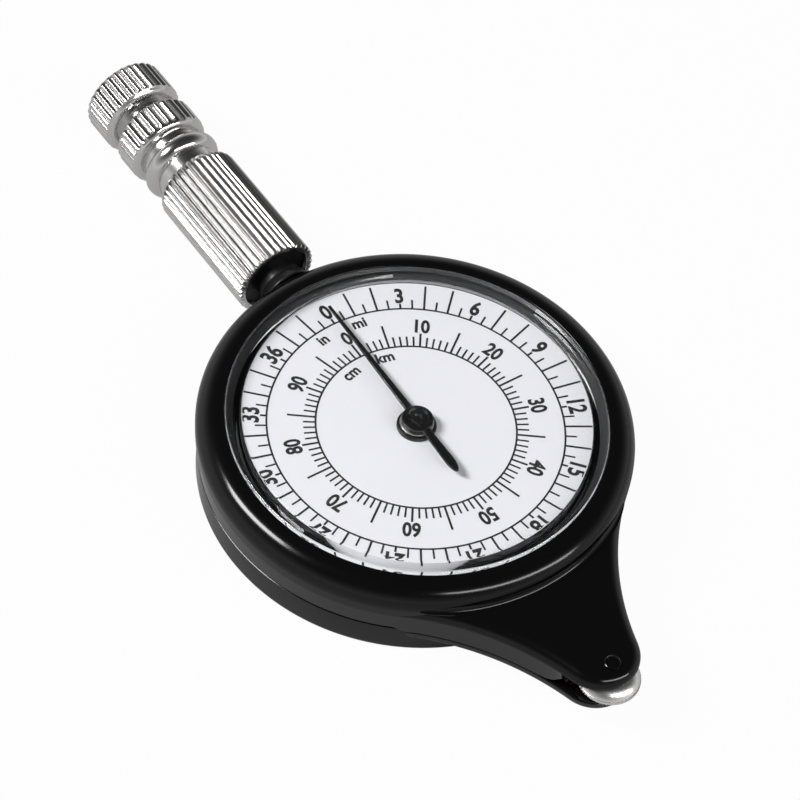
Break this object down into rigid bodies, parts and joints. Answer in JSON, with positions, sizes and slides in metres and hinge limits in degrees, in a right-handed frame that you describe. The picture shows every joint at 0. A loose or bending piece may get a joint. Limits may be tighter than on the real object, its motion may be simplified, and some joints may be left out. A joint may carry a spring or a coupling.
{
  "type": "opisometer map measurer",
  "caption": "Black opisometer map measurer with a round dial, a measuring wheel in its nose and a fluted nickel handle.",
  "frame": {"origin": "centre of the flat back of the case, under the dial axis", "axes": "+Z out of the dial, +Y along the body towards the handle, +X right when the dial is read with the handle up"},
  "size_m": [0.045, 0.0917, 0.0099],
  "materials": {
    "case_black": "gloss",
    "part_black": "satin",
    "clear_plastic": "clear, polished",
    "dial_white": "satin white print ground",
    "nickel": "bright nickel plate",
    "steel": "turned",
    "brass": "turned"
  },
  "bodies": {
    "case": {"front_shell": "case_black", "rear_shell": "case_black", "crystal": "clear_plastic", "dial_plate": "dial_white", "dial_collar": "part_black", "movement_plate": "brass", "bridge": "brass", "bridge_pillars": "steel", "bridge_screws": "steel", "handle_stem": "part_black", "stem_pin": "steel", "stem_collar": "part_black", "handle_rod": "steel", "handle_tube": "nickel", "bead_ring": "nickel", "fluted_ring": "nickel", "end_cap": "nickel"},
    "pointer_shaft": {"pointer": "part_black", "pointer_bush": "nickel", "centre_arbor": "steel", "centre_gear": "brass"},
    "second_shaft": {"second_arbor": "steel", "second_gear": "brass", "second_pinion": "brass"},
    "first_shaft": {"first_arbor": "steel", "first_gear": "brass", "first_pinion": "brass"},
    "wheel_shaft": {"wheel_axle": "steel", "wheel_pinion": "brass", "measuring_wheel": "nickel"}
  },
  "joints": [
    {"name": "pointer_turn", "type": "hinge", "parent": "case", "child": "pointer_shaft", "pos_m": [0, 0, 0.0055], "axis": [0, 0, 1], "continuous": true},
    {"name": "second_turn", "type": "hinge", "parent": "case", "child": "second_shaft", "pos_m": [0, -0.018, 0.0055], "axis": [0, 0, 1], "continuous": true},
    {"name": "first_turn", "type": "hinge", "parent": "case", "child": "first_shaft", "pos_m": [0, -0.02761, 0.0055], "axis": [0, 0, 1], "continuous": true},
    {"name": "wheel_roll", "type": "hinge", "parent": "case", "child": "wheel_shaft", "pos_m": [0, -0.03321, 0.0055], "axis": [0, 0, 1], "continuous": true}
  ],
  "couplings": [
    {"joint": "first_turn", "follows": "wheel_roll", "ratio": -0.33333},
    {"joint": "second_turn", "follows": "wheel_roll", "ratio": 0.08},
    {"joint": "pointer_turn", "follows": "wheel_roll", "ratio": -0.02}
  ]
}
